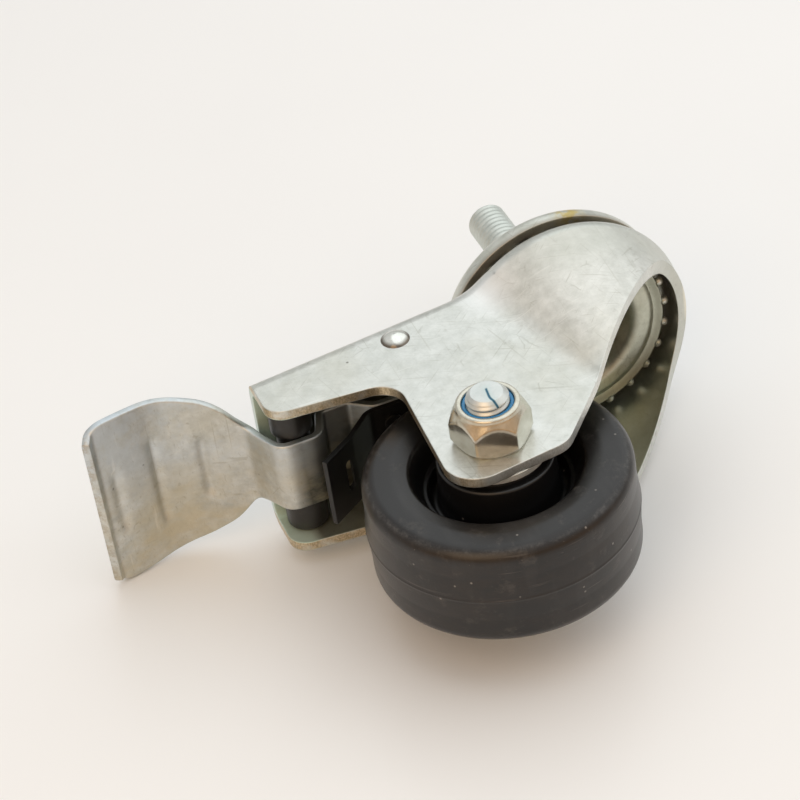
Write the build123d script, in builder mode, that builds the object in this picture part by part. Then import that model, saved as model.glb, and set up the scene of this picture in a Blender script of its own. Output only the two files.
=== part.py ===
"""Swivel castor with a threaded stem, a 50 mm wheel and a foot pedal that brakes the wheel and locks the swivel.

Millimetres. +Z is the stem's axis, which is the swivel axis, and Z = 0 is the face that seats under the furniture.
+X is the trailing side, where the pedal stands out, and +Y is the side of the axle nut.
"""

from build123d import *
from math import cos, radians, sin, sqrt
import os

os.makedirs("parts", exist_ok=True)

# Sheets and clearances
FORK_SHEET = 2.0
PLATE_SHEET = 1.8
CUP_SHEET = 1.5
PEDAL_SHEET = 1.5
LEAF_SHEET = 1.0
RUNNING_GAP = 0.05
BALL_GAP = 0.04
SIDE_GAP = 0.3

# Wheel and axle
WHEEL_DIAMETER = 50.0
WHEEL_WIDTH = 21.6
TREAD_CROWN = 0.35
SHOULDER_RADIUS = 3.0
FACE_RIM_RADIUS = 15.9
RECESS_STEP_RADIUS = 12.9
RECESS_STEP = 6.0
WHEEL_WEB = 7.0
HUB_RADIUS = 10.7
HUB_LENGTH = 25.4
TRAIL = 31.0
HUB_SIDE_GAP = 0.4
LEAF_CLEARANCE = 3.6
BUSH_RADIUS = 7.6
BUSH_FLANGE_RADIUS = 9.0
BUSH_FLANGE = 0.7
SLEEVE_RADIUS = 6.0
BOLT_RADIUS = 4.0
BOLT_STICKOUT = 2.1
HEX_FLATS = 13.0
HEAD_HEIGHT = 5.3
NUT_HEIGHT = 8.0
NUT_CROWN_RADIUS = 6.0
NUT_CROWN_HEIGHT = 1.7
NYLON_RADIUS = 5.0
NUT_TURN = -13.0
WASHER_RADIUS = 9.7
WASHER_THICKNESS = 1.2

# Stem, top plate and ball races
STEM_RADIUS = 4.0
STEM_LENGTH = 32.0
STEM_CHAMFER = 1.0
COLLAR_RADIUS = 6.6
COLLAR_HEIGHT = 3.0
RIVETED_HEAD_RADIUS = 7.2
RIVETED_HEAD_HEIGHT = 2.6
RIVETED_HEAD_NOTCHES = 6
PLATE_RADIUS = 22.2
PLATE_LIP = 4.2
PLATE_WELL_RADIUS = 9.0
PLATE_WELL_DEPTH = 5.0
UPPER_BALL = 4.5
UPPER_RACE_RADIUS = 16.2
UPPER_BALL_COUNT = 16
LOWER_BALL = 3.0
LOWER_RACE_RADIUS = 15.0
LOWER_BALL_COUNT = 12
RACE_DEPTH = 0.3

# Toothed cup under the crown
TOOTH_COUNT = 25
TOOTH_WIDTH = 1.9
TOOTH_TIP_RADIUS = 20.5
CUP_FLANGE_RADIUS = 19.2
CUP_TURN = -1.0

# Fork
CROWN_TOP = -(PLATE_SHEET - RACE_DEPTH + UPPER_BALL + 2 * BALL_GAP - RACE_DEPTH)
CROWN_RADIUS = 24.2
CROWN_BEND = 4.0
CROWN_HOLE_RADIUS = 12.2
FOOT_FLARE = 0.6
ARM_BLEND = 12.0
ARM_END = 64.4
WEB_START = 23.0
WEB_START_DROP = 2.6
WEB_END_DROP = 7.6
SKIRT_DROP = 7.2
FOOT_MARGIN = 11.0
LEG_FRONT = 11.1
LEG_REAR = 11.2
LEG_TOP_REAR = 9.4
ARM_ROOT_Z = -27.9
ARM_END_Z = -25.4
WINDOW_START = 55.5
WINDOW_END = 60.6
WINDOW_HALF_WIDTH = 9.5

# Pedal, its pin and the brake leaf
PIN_X = 36.1
PIN_Z = -16.3
PIN_RADIUS = 2.0
PIN_HEAD_RADIUS = 2.75
PIN_HEAD_HEIGHT = 1.2
NECK_HALF_WIDTH = 7.7
PADDLE_HALF_WIDTH = 18.7
PEDAL_END = 97.4
PADDLE_CORNER = 4.5
ROLLER_X = 59.2
ROLLER_Z = -19.0
ROLLER_RADIUS = 4.0
ROLLER_CORE_RADIUS = 3.2
EAR_RADIUS = 3.6
RIB_RADIUS = 0.9
PEDAL_RIBS = ((75.1, -12.1, 13.0), (84.3, -10.9, 19.0), (92.6, -12.8, 13.0))
TONGUE_HALF_WIDTH = 1.5
TONGUE_TIP_X = 18.6
TONGUE_RISE = 3.1
LEAF_HALF_WIDTH = 7.4
LEAF_START_X = 31.2
LEAF_BEND_X = 45.3
LEAF_KNEE = (6.0, 50.8)
LEAF_TIP = (7.7, 36.4)
SLOT_LENGTH = 6.8
SLOT_WIDTH = 1.4
LEAF_RIVET_X = 40.7
LEAF_RIVET_Y = 3.6
LEAF_RIVET_RADIUS = 1.1
SPRING_WIRE = 0.4
SPRING_RADIUS = EAR_RADIUS - SPRING_WIRE
SPRING_PITCH = 1.0
SPRING_TURNS = 2.5
SPRING_LEG = 4.6

# Sizes that follow from the ones above
wheel_radius = WHEEL_DIAMETER / 2
AXLE_DROP = abs(PIN_Z) + EAR_RADIUS + PEDAL_SHEET + LEAF_SHEET + LEAF_CLEARANCE + wheel_radius
leg_inner = HUB_LENGTH / 2 + BUSH_FLANGE + HUB_SIDE_GAP + WASHER_THICKNESS
ARM_HALF_WIDTH = leg_inner + FORK_SHEET
FOOT_RADIUS = ARM_HALF_WIDTH + FOOT_FLARE
LEG_FOOT = AXLE_DROP + FOOT_MARGIN
BOLT_END = ARM_HALF_WIDTH + NUT_HEIGHT + BOLT_STICKOUT
axle_plane = Plane((TRAIL, 0, -AXLE_DROP))
axle_axis = Axis((TRAIL, 0, -AXLE_DROP), (0, 1, 0))


def side_plane(y):
    """A plane across the axle at height y, facing +Y, with its origin on the axle."""
    return Plane((TRAIL, y, -AXLE_DROP), x_dir=(1, 0, 0), z_dir=(0, 1, 0))


def save(piece, name):
    piece.part.label = name
    export_step(piece.part, f"parts/{name}.step")


# Stem with its collar, its shank through plate and cup, and its riveted lower head
well_top = -PLATE_WELL_DEPTH
well_bottom = well_top - PLATE_SHEET
cup_floor = well_bottom - CUP_SHEET
head_bottom = cup_floor - RIVETED_HEAD_HEIGHT
with BuildPart() as stem:
    with BuildSketch(Plane.XZ):
        with BuildLine():
            Polyline(
                (0, STEM_LENGTH),
                (STEM_RADIUS - STEM_CHAMFER, STEM_LENGTH),
                (STEM_RADIUS, STEM_LENGTH - STEM_CHAMFER),
                (STEM_RADIUS, well_top + COLLAR_HEIGHT),
                (COLLAR_RADIUS, well_top + COLLAR_HEIGHT),
                (COLLAR_RADIUS, well_top),
                (STEM_RADIUS, well_top),
                (STEM_RADIUS, cup_floor),
                (RIVETED_HEAD_RADIUS, cup_floor),
                (RIVETED_HEAD_RADIUS, cup_floor - RIVETED_HEAD_HEIGHT / 2),
                (RIVETED_HEAD_RADIUS - 1.4, head_bottom),
                (0, head_bottom),
                close=True,
            )
        make_face()
    revolve(axis=Axis.Z)
    with BuildSketch(Plane.XY.offset(head_bottom)):
        with PolarLocations(RIVETED_HEAD_RADIUS + 0.2, RIVETED_HEAD_NOTCHES, 15):
            Circle(1.3)
    extrude(amount=RIVETED_HEAD_HEIGHT, mode=Mode.SUBTRACT)
save(stem, "stem")

# Dished top plate with a turned-down lip
with BuildPart() as top_plate:
    with BuildSketch(Plane.XZ):
        with BuildLine() as plate_line:
            Polyline(
                (STEM_RADIUS, well_top - PLATE_SHEET / 2),
                (PLATE_WELL_RADIUS, well_top - PLATE_SHEET / 2),
                (PLATE_WELL_RADIUS + 2.2, -PLATE_SHEET / 2),
                (PLATE_RADIUS - PLATE_SHEET / 2, -PLATE_SHEET / 2),
                (PLATE_RADIUS - PLATE_SHEET / 2, -PLATE_LIP),
            )
            fillet(plate_line.vertices().sort_by(Axis.X)[1:3], 1.4)
            fillet(plate_line.vertices().group_by(Axis.Y)[-1].sort_by(Axis.X)[-1], 2.6)
        trace(line_width=PLATE_SHEET)
    revolve(axis=Axis.Z)
    with BuildSketch(Plane.XZ):
        with Locations((UPPER_RACE_RADIUS, -PLATE_SHEET + RACE_DEPTH - UPPER_BALL / 2)):
            Circle(UPPER_BALL / 2)
    revolve(axis=Axis.Z, mode=Mode.SUBTRACT)
save(top_plate, "top_plate")

# Ring of balls between the top plate and the crown
upper_ball_z = -PLATE_SHEET + RACE_DEPTH - BALL_GAP - UPPER_BALL / 2
with BuildPart() as upper_balls:
    with Locations(Plane.XY.offset(upper_ball_z)):
        with PolarLocations(UPPER_RACE_RADIUS, UPPER_BALL_COUNT):
            Sphere(UPPER_BALL / 2)
save(upper_balls, "upper_balls")


def plan_outline(radius, half_width, blend, length):
    """Half of the fork's outline seen from above: crown arc, hollow blend and straight arm, from front to rear."""
    blend_x = sqrt((radius + blend) ** 2 - (half_width + blend) ** 2)
    share = radius / (radius + blend)
    meet = (blend_x * share, (half_width + blend) * share)
    with BuildLine() as outline:
        front = RadiusArc((-radius, 0), meet, radius, short_sagitta=True)
        blend_arc = TangentArc(meet, (blend_x, half_width), tangent=front % 1)
        Line(blend_arc @ 1, (length, half_width))
        Line((length, half_width), (length, 0))
        mirror(about=Plane.XZ)
    return outline.line


def fork_form(inset):
    """The solid that the fork's outer skin bounds, or its inner skin when inset by the sheet."""
    levels = ((CROWN_TOP + 1, CROWN_RADIUS), (-LEG_FOOT - 1, FOOT_RADIUS))
    with BuildPart() as form:
        for level, radius in levels:
            with BuildSketch(Plane.XY.offset(level)):
                add(plan_outline(radius - inset, ARM_HALF_WIDTH - inset, ARM_BLEND + inset, ARM_END + inset))
                make_face()
        loft(ruled=True)
        with BuildSketch(Plane.XZ):
            with BuildLine() as top_line:
                Polyline(
                    (-CROWN_RADIUS - 5, 10),
                    (-CROWN_RADIUS - 5, CROWN_TOP - inset),
                    (WEB_START - 9, CROWN_TOP - inset),
                    (WEB_START, CROWN_TOP - WEB_START_DROP - inset),
                    (ARM_END + 5, CROWN_TOP - WEB_END_DROP - inset),
                    (ARM_END + 5, 10),
                    close=True,
                )
                fillet(top_line.vertices().filter_by(lambda v: 0 < v.X < ARM_END), 12)
            make_face()
        extrude(amount=CROWN_RADIUS, both=True, mode=Mode.SUBTRACT)
        rim = form.edges().filter_by(lambda e: e.center().Z > CROWN_TOP - WEB_END_DROP - FORK_SHEET - 1)
        fillet(rim.filter_by(GeomType.LINE, reverse=True), CROWN_BEND - inset)
    return form.part


# Fork: crown, skirt, two legs and the two arms with their web, pressed from one sheet
fork_outer = fork_form(0)
fork_inner = fork_form(FORK_SHEET)
with BuildPart() as fork:
    add(fork_outer)
    add(fork_inner, mode=Mode.SUBTRACT)
    with BuildSketch(Plane.XZ):
        with BuildLine() as side_line:
            Polyline(
                (-CROWN_RADIUS - 8, 1),
                (-CROWN_RADIUS - 8, CROWN_TOP - SKIRT_DROP),
                (-20.9, CROWN_TOP - SKIRT_DROP),
                (TRAIL - LEG_FRONT, FOOT_MARGIN * 0.25 - LEG_FOOT),
                (TRAIL + LEG_REAR, -LEG_FOOT),
                (TRAIL + LEG_TOP_REAR, ARM_ROOT_Z),
                (ARM_END, ARM_END_Z),
                (ARM_END, 1),
                close=True,
            )
            fillet(side_line.vertices().filter_by(lambda v: abs(v.X + 20.9) < 0.1), 14)
            fillet(side_line.vertices().filter_by(lambda v: v.Y < -AXLE_DROP and v.X < TRAIL), 5.5)
            fillet(side_line.vertices().filter_by(lambda v: v.Y < -AXLE_DROP and v.X > TRAIL), 6.5)
            fillet(side_line.vertices().filter_by(lambda v: abs(v.Y - ARM_ROOT_Z) < 0.1), 5.5)
            fillet(side_line.vertices().filter_by(lambda v: abs(v.Y - ARM_END_Z) < 0.1), 4)
        make_face()
    extrude(amount=CROWN_RADIUS + 2, both=True, mode=Mode.INTERSECT)
    with BuildSketch(Plane.XY.offset(CROWN_TOP - FORK_SHEET - 1)):
        Circle(CROWN_HOLE_RADIUS)
    extrude(amount=FORK_SHEET + 2, mode=Mode.SUBTRACT)
    with BuildSketch(Plane.XZ):
        with Locations((UPPER_RACE_RADIUS, CROWN_TOP - RACE_DEPTH + UPPER_BALL / 2)):
            Circle(UPPER_BALL / 2)
        with Locations((LOWER_RACE_RADIUS, CROWN_TOP - FORK_SHEET + RACE_DEPTH - LOWER_BALL / 2)):
            Circle(LOWER_BALL / 2)
    revolve(axis=Axis.Z, mode=Mode.SUBTRACT)
    with BuildSketch(Plane.XY):
        with Locations(((WINDOW_START + WINDOW_END) / 2, 0)):
            RectangleRounded(WINDOW_END - WINDOW_START, 2 * WINDOW_HALF_WIDTH, 1.5)
    extrude(amount=-ROLLER_RADIUS - abs(PIN_Z), mode=Mode.SUBTRACT)
    with BuildSketch(Plane.XZ):
        with Locations((TRAIL, -AXLE_DROP)):
            Circle(BOLT_RADIUS + RUNNING_GAP)
        with Locations((PIN_X, PIN_Z)):
            Circle(PIN_RADIUS + RUNNING_GAP)
    extrude(amount=ARM_HALF_WIDTH + 5, both=True, mode=Mode.SUBTRACT)
save(fork, "fork")

# Lower cup: ball race, ring of locking teeth and a floor clamped to the plate's well
lower_ball_z = CROWN_TOP - FORK_SHEET + RACE_DEPTH - BALL_GAP - LOWER_BALL / 2
race_floor = lower_ball_z - LOWER_BALL / 2 - BALL_GAP - CUP_SHEET / 2
with BuildPart() as lock_cup:
    with BuildSketch(Plane.XZ):
        with BuildLine() as cup_line:
            Polyline(
                (STEM_RADIUS, well_bottom - CUP_SHEET / 2),
                (CROWN_HOLE_RADIUS - 1.6, well_bottom - CUP_SHEET / 2),
                (LOWER_RACE_RADIUS - 1.7, race_floor),
                (LOWER_RACE_RADIUS + 1.0, race_floor),
                (LOWER_RACE_RADIUS + 2.1, race_floor + 0.7),
                (CUP_FLANGE_RADIUS, race_floor + 0.2),
            )
            fillet(cup_line.vertices().sort_by(Axis.X)[1:4], 1.0)
        trace(line_width=CUP_SHEET)
    revolve(axis=Axis.Z)
    with BuildSketch(Plane.XY.offset(race_floor + 0.2 - CUP_SHEET / 2)):
        with PolarLocations(0, TOOTH_COUNT, 180 / TOOTH_COUNT + CUP_TURN):
            with Locations(((CUP_FLANGE_RADIUS + TOOTH_TIP_RADIUS - TOOTH_WIDTH / 2) / 2 - 0.4, 0)):
                Rectangle(TOOTH_TIP_RADIUS - TOOTH_WIDTH / 2 - CUP_FLANGE_RADIUS + 0.8, TOOTH_WIDTH)
            with Locations((TOOTH_TIP_RADIUS - TOOTH_WIDTH / 2, 0)):
                Circle(TOOTH_WIDTH / 2)
    extrude(amount=CUP_SHEET)
    with BuildSketch(Plane.XZ):
        with Locations((LOWER_RACE_RADIUS, lower_ball_z)):
            Circle(LOWER_BALL / 2 + BALL_GAP)
    revolve(axis=Axis.Z, mode=Mode.SUBTRACT)
save(lock_cup, "lock_cup")

# Ring of balls between the crown and the cup
with BuildPart() as lower_balls:
    with Locations(Plane.XY.offset(lower_ball_z)):
        with PolarLocations(LOWER_RACE_RADIUS, LOWER_BALL_COUNT):
            Sphere(LOWER_BALL / 2)
save(lower_balls, "lower_balls")

# Wheel: one moulded piece with a crowned tread, stepped recesses and a hub
half_width = WHEEL_WIDTH / 2
tread_edge = wheel_radius - TREAD_CROWN
with BuildPart() as wheel:
    with BuildSketch(axle_plane):
        with BuildLine() as wheel_line:
            Polyline(
                (wheel_radius, 0),
                (BUSH_RADIUS, 0),
                (BUSH_RADIUS, HUB_LENGTH / 2),
                (HUB_RADIUS, HUB_LENGTH / 2),
                (HUB_RADIUS + 0.4, WHEEL_WEB / 2),
                (RECESS_STEP_RADIUS - 0.4, WHEEL_WEB / 2),
                (RECESS_STEP_RADIUS, RECESS_STEP),
                (RECESS_STEP_RADIUS + 0.9, RECESS_STEP),
                (FACE_RIM_RADIUS, half_width - 0.4),
                (wheel_radius - 2 * SHOULDER_RADIUS, half_width),
                (tread_edge, half_width),
                (tread_edge, half_width - 2 * SHOULDER_RADIUS),
            )
            outer_corner = wheel_line.vertices().group_by(Axis.Y)[-2].sort_by(Axis.X)[-1]
            fillet(outer_corner, SHOULDER_RADIUS)
            fillet(wheel_line.vertices().filter_by(lambda v: abs(v.X - FACE_RIM_RADIUS) < 0.01), 0.8)
            fillet(wheel_line.vertices().group_by(Axis.Y)[-1].sort_by(Axis.X)[-1], 0.8)
            ThreePointArc(
                (tread_edge, half_width - 2 * SHOULDER_RADIUS),
                (wheel_radius - TREAD_CROWN / 4, half_width / 2 - SHOULDER_RADIUS),
                (wheel_radius, 0),
            )
        make_face()
    revolve(axis=axle_axis)
    mirror(about=Plane.XZ)
save(wheel, "wheel")

# Flanged plain bushes pressed into the hub from both sides
with BuildPart() as hub_bushes:
    with BuildSketch(axle_plane):
        with BuildLine():
            Polyline(
                (SLEEVE_RADIUS + RUNNING_GAP, 1),
                (BUSH_RADIUS, 1),
                (BUSH_RADIUS, HUB_LENGTH / 2),
                (BUSH_FLANGE_RADIUS, HUB_LENGTH / 2),
                (BUSH_FLANGE_RADIUS, HUB_LENGTH / 2 + BUSH_FLANGE),
                (SLEEVE_RADIUS + RUNNING_GAP, HUB_LENGTH / 2 + BUSH_FLANGE),
                close=True,
            )
        make_face()
    revolve(axis=axle_axis)
    mirror(about=Plane.XZ)
save(hub_bushes, "hub_bushes")

# Sleeve between the legs, on which the wheel turns
with BuildPart() as axle_sleeve:
    with BuildSketch(side_plane(-leg_inner)):
        Circle(SLEEVE_RADIUS)
        Circle(BOLT_RADIUS + RUNNING_GAP, mode=Mode.SUBTRACT)
    extrude(amount=2 * leg_inner)
save(axle_sleeve, "axle_sleeve")

# Zinc-plated washers between hub and legs
for side_name, start in (("nut_side_washer", leg_inner - WASHER_THICKNESS), ("head_side_washer", -leg_inner)):
    with BuildPart() as side_washer:
        with BuildSketch(side_plane(start)):
            Circle(WASHER_RADIUS)
            Circle(SLEEVE_RADIUS + RUNNING_GAP, mode=Mode.SUBTRACT)
        extrude(amount=WASHER_THICKNESS)
    save(side_washer, side_name)

# Hexagon bolt through the legs, head on the -Y side
hex_corner = HEX_FLATS / sqrt(3)
with BuildPart() as axle_bolt:
    with BuildSketch(side_plane(-ARM_HALF_WIDTH - HEAD_HEIGHT)):
        RegularPolygon(HEX_FLATS / 2, 6, major_radius=False)
    extrude(amount=HEAD_HEIGHT)
    with BuildSketch(axle_plane):
        with BuildLine():
            Polyline(
                (0, -ARM_HALF_WIDTH - HEAD_HEIGHT),
                (HEX_FLATS / 2 * 0.95, -ARM_HALF_WIDTH - HEAD_HEIGHT),
                (hex_corner, -ARM_HALF_WIDTH - HEAD_HEIGHT + 0.8),
                (hex_corner, -ARM_HALF_WIDTH),
                (0, -ARM_HALF_WIDTH),
                close=True,
            )
        make_face()
    revolve(axis=axle_axis, mode=Mode.INTERSECT)
    with BuildSketch(side_plane(-ARM_HALF_WIDTH)):
        Circle(BOLT_RADIUS)
    extrude(amount=ARM_HALF_WIDTH + BOLT_END)
    chamfer(axle_bolt.faces().sort_by(Axis.Y)[-1].edges(), 0.9)
save(axle_bolt, "axle_bolt")

# Self-locking nut: hexagon with a turned-in crown round a nylon ring
nut_hex = NUT_HEIGHT - NUT_CROWN_HEIGHT
with BuildPart() as axle_nut:
    with BuildSketch(side_plane(ARM_HALF_WIDTH)):
        with Locations(Rotation(0, 0, NUT_TURN)):
            RegularPolygon(HEX_FLATS / 2, 6, major_radius=False)
    extrude(amount=nut_hex)
    with BuildSketch(axle_plane):
        with BuildLine():
            Polyline(
                (0, ARM_HALF_WIDTH),
                (HEX_FLATS / 2 * 0.97, ARM_HALF_WIDTH),
                (hex_corner, ARM_HALF_WIDTH + 1.0),
                (hex_corner, ARM_HALF_WIDTH + nut_hex * 0.42),
                (NUT_CROWN_RADIUS + 0.2, ARM_HALF_WIDTH + nut_hex),
                (0, ARM_HALF_WIDTH + nut_hex),
                close=True,
            )
        make_face()
    revolve(axis=axle_axis, mode=Mode.INTERSECT)
    with BuildSketch(side_plane(ARM_HALF_WIDTH + nut_hex)):
        Circle(NUT_CROWN_RADIUS)
    extrude(amount=NUT_CROWN_HEIGHT)
    fillet(axle_nut.faces().sort_by(Axis.Y)[-1].edges(), 0.7)
    with BuildSketch(side_plane(ARM_HALF_WIDTH)):
        Circle(BOLT_RADIUS)
    extrude(amount=NUT_HEIGHT, mode=Mode.SUBTRACT)
    with BuildSketch(side_plane(ARM_HALF_WIDTH + nut_hex - 0.6)):
        Circle(NYLON_RADIUS)
    extrude(amount=NUT_CROWN_HEIGHT + 0.6, mode=Mode.SUBTRACT)
save(axle_nut, "axle_nut")

with BuildPart() as nut_insert:
    with BuildSketch(side_plane(ARM_HALF_WIDTH + nut_hex - 0.6)):
        Circle(NYLON_RADIUS)
        Circle(BOLT_RADIUS, mode=Mode.SUBTRACT)
    extrude(amount=NUT_CROWN_HEIGHT + 0.35)
save(nut_insert, "nut_insert")

# Rivet through both arms that carries the pedal, with a domed head at each end
dome_radius = (PIN_HEAD_RADIUS**2 + PIN_HEAD_HEIGHT**2) / (2 * PIN_HEAD_HEIGHT)
with BuildPart() as pedal_pin:
    with BuildSketch(Plane.XZ.offset(-ARM_HALF_WIDTH)):
        with Locations((PIN_X, PIN_Z)):
            Circle(PIN_RADIUS)
    extrude(amount=2 * ARM_HALF_WIDTH)
    for side in (-1, 1):
        with BuildSketch(Plane.XY.offset(PIN_Z)):
            with BuildLine():
                dome = RadiusArc(
                    (PIN_X, side * (ARM_HALF_WIDTH + PIN_HEAD_HEIGHT)),
                    (PIN_X + PIN_HEAD_RADIUS, side * ARM_HALF_WIDTH),
                    side * dome_radius,
                )
                Polyline(dome @ 1, (PIN_X, side * ARM_HALF_WIDTH), dome @ 0)
            make_face()
        revolve(axis=Axis((PIN_X, 0, PIN_Z), (0, 1, 0)))
save(pedal_pin, "pedal_pin")

# Pedal: one strip that dips under the roller, swells into a ribbed paddle and ends in a locking tongue in front
strip_z = PIN_Z - EAR_RADIUS - PEDAL_SHEET / 2
with BuildPart() as pedal:
    with BuildSketch(Plane.XZ):
        with BuildLine() as strip_line:
            Polyline(
                (TONGUE_TIP_X, strip_z + TONGUE_RISE),
                (24.0, strip_z + 0.8 * TONGUE_RISE),
                (30.0, strip_z),
                (43.3, strip_z),
                (47.4, strip_z + 3.4),
                (53.2, strip_z + 3.4),
                (55.4, ROLLER_Z - 4.6),
                (63.0, ROLLER_Z - 4.6),
                (66.9, -15.4),
                (74.0, -12.4),
                (82.0, -10.4),
                (95.6, -14.0),
                (PEDAL_END - 0.6, -16.0),
            )
            fillet(strip_line.vertices().filter_by(lambda v: 20 < v.X < 48), 2.5)
            fillet(strip_line.vertices().filter_by(lambda v: 50 < v.X < 54), 1.2)
            fillet(strip_line.vertices().filter_by(lambda v: 55 < v.X < 56), 2.4)
            fillet(strip_line.vertices().filter_by(lambda v: 62 < v.X < 64), 3.0)
            fillet(strip_line.vertices().filter_by(lambda v: 66 < v.X < 67), 4.0)
            fillet(strip_line.vertices().filter_by(lambda v: 81 < v.X < 83), 14.0)
            fillet(strip_line.vertices().filter_by(lambda v: 95 < v.X < 96), 1.6)
        trace(line_width=PEDAL_SHEET)
    extrude(amount=PADDLE_HALF_WIDTH, both=True)
    with BuildSketch(Plane.XY.offset(10)):
        with BuildLine():
            Line((TONGUE_TIP_X - 1, 0), (TONGUE_TIP_X - 1, TONGUE_HALF_WIDTH))
            Line((TONGUE_TIP_X - 1, TONGUE_HALF_WIDTH), (26.0, TONGUE_HALF_WIDTH))
            neck_front = Line((32.5, NECK_HALF_WIDTH), (64.5, NECK_HALF_WIDTH))
            Spline((26.0, TONGUE_HALF_WIDTH), neck_front @ 0, tangents=((1, 0), (1, 0)))
            Spline(
                neck_front @ 1,
                (70.5, 12.6),
                (77.0, 16.3),
                (90.5, PADDLE_HALF_WIDTH - 0.1),
                (PEDAL_END - PADDLE_CORNER, PADDLE_HALF_WIDTH),
                tangents=((1, 0), (1, 0)),
            )
            corner = RadiusArc(
                (PEDAL_END - PADDLE_CORNER, PADDLE_HALF_WIDTH),
                (PEDAL_END, PADDLE_HALF_WIDTH - PADDLE_CORNER),
                PADDLE_CORNER,
            )
            Line(corner @ 1, (PEDAL_END, 0))
            mirror(about=Plane.XZ)
        make_face()
    extrude(amount=-60, mode=Mode.INTERSECT)
    for side in (-1, 1):
        with BuildSketch(Plane.XZ.offset(-side * (NECK_HALF_WIDTH - PEDAL_SHEET / 2) - PEDAL_SHEET / 2)):
            with Locations((PIN_X, PIN_Z)):
                Circle(EAR_RADIUS)
            with Locations((PIN_X, (PIN_Z + strip_z) / 2)):
                Rectangle(2 * EAR_RADIUS, PIN_Z - strip_z)
        extrude(amount=PEDAL_SHEET)
    for rib_x, rib_z, rib_length in PEDAL_RIBS:
        with BuildSketch(Plane.XZ):
            with Locations((rib_x, rib_z + PEDAL_SHEET / 2)):
                Circle(RIB_RADIUS)
        extrude(amount=rib_length / 2, both=True)
        with BuildSketch(Plane.XZ):
            with Locations((rib_x, rib_z - PEDAL_SHEET / 2)):
                Circle(RIB_RADIUS * 0.9)
        extrude(amount=rib_length / 2, both=True, mode=Mode.SUBTRACT)
    with BuildSketch(Plane.XZ):
        with Locations((PIN_X, PIN_Z)):
            Circle(PIN_RADIUS + RUNNING_GAP)
    extrude(amount=ARM_HALF_WIDTH, both=True, mode=Mode.SUBTRACT)
    with BuildSketch(Plane.XY.offset(strip_z - 2)):
        with Locations((LEAF_RIVET_X, LEAF_RIVET_Y), (LEAF_RIVET_X, -LEAF_RIVET_Y)):
            Circle(LEAF_RIVET_RADIUS)
    extrude(amount=4, mode=Mode.SUBTRACT)
save(pedal, "pedal")

# Plastic roller in the pedal's dip, with a boss that fills the width to each arm
with BuildPart() as pedal_roller:
    with BuildSketch(Plane.XZ):
        with Locations((ROLLER_X, ROLLER_Z)):
            Circle(ROLLER_CORE_RADIUS)
    extrude(amount=leg_inner - SIDE_GAP, both=True)
    for side in (-1, 1):
        with BuildSketch(Plane.XZ.offset(-side * (NECK_HALF_WIDTH + 0.2))):
            with Locations((ROLLER_X, ROLLER_Z)):
                Circle(ROLLER_RADIUS)
        extrude(amount=-side * (leg_inner - SIDE_GAP - NECK_HALF_WIDTH - 0.2))
    fillet(pedal_roller.faces().filter_by(Axis.Y).group_by(Axis.Y)[0].edges(), 0.5)
    fillet(pedal_roller.faces().filter_by(Axis.Y).group_by(Axis.Y)[-1].edges(), 0.5)
save(pedal_roller, "pedal_roller")

# Brake leaf: flange riveted under the strip, and a slotted tail that comes down on the tread
leaf_z = strip_z - PEDAL_SHEET / 2 - LEAF_SHEET / 2
leaf_knee, leaf_tip = (
    (
        TRAIL + (wheel_radius + clearance) * cos(radians(angle)),
        (wheel_radius + clearance) * sin(radians(angle)) - AXLE_DROP,
    )
    for clearance, angle in (LEAF_KNEE, LEAF_TIP)
)
with BuildPart() as brake_leaf:
    with BuildSketch(Plane.XZ):
        with BuildLine() as leaf_line:
            Polyline((LEAF_START_X, leaf_z), (LEAF_BEND_X, leaf_z), leaf_knee, leaf_tip)
            fillet(leaf_line.vertices().sort_by(Axis.X)[1:3], 3)
        trace(line_width=LEAF_SHEET)
    extrude(amount=LEAF_HALF_WIDTH, both=True)
    with BuildSketch(Plane.XY.offset(leaf_z - 12)):
        with Locations((leaf_knee[0] + 1.5, 0)):
            SlotOverall(SLOT_LENGTH, SLOT_WIDTH, rotation=90)
        with Locations((LEAF_RIVET_X, LEAF_RIVET_Y), (LEAF_RIVET_X, -LEAF_RIVET_Y)):
            Circle(LEAF_RIVET_RADIUS)
    extrude(amount=20, mode=Mode.SUBTRACT)
save(brake_leaf, "brake_leaf")

# Two rivets that hold the leaf to the pedal
with BuildPart() as leaf_rivets:
    with BuildSketch(Plane.XY.offset(leaf_z - LEAF_SHEET / 2)):
        with Locations((LEAF_RIVET_X, LEAF_RIVET_Y), (LEAF_RIVET_X, -LEAF_RIVET_Y)):
            Circle(LEAF_RIVET_RADIUS)
    extrude(amount=LEAF_SHEET + PEDAL_SHEET)
    with BuildSketch(Plane.XY.offset(leaf_z - LEAF_SHEET / 2), Plane.XY.offset(strip_z + PEDAL_SHEET / 2 + 0.5)):
        with Locations((LEAF_RIVET_X, LEAF_RIVET_Y), (LEAF_RIVET_X, -LEAF_RIVET_Y)):
            Circle(LEAF_RIVET_RADIUS + 0.6)
    extrude(amount=-0.5)
save(leaf_rivets, "leaf_rivets")

# Torsion spring round the pin: one leg lies on the strip, the other comes up to the web as the pedal goes down
spring_start = (PIN_X, -SPRING_TURNS * SPRING_PITCH / 2, PIN_Z)
with BuildPart() as pedal_spring:
    with BuildLine():
        coil = Helix(SPRING_PITCH, SPRING_TURNS * SPRING_PITCH, SPRING_RADIUS, center=spring_start, direction=(0, 1, 0))
    with BuildSketch(Plane(coil @ 0, z_dir=coil % 0)):
        Circle(SPRING_WIRE)
    sweep(path=coil, is_frenet=True)
    for leg_start, leg_way in ((coil @ 0, -(coil % 0)), (coil @ 1, coil % 1)):
        with BuildSketch(Plane(leg_start, z_dir=leg_way)):
            Circle(SPRING_WIRE)
        extrude(amount=SPRING_LEG)
save(pedal_spring, "pedal_spring")
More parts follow.
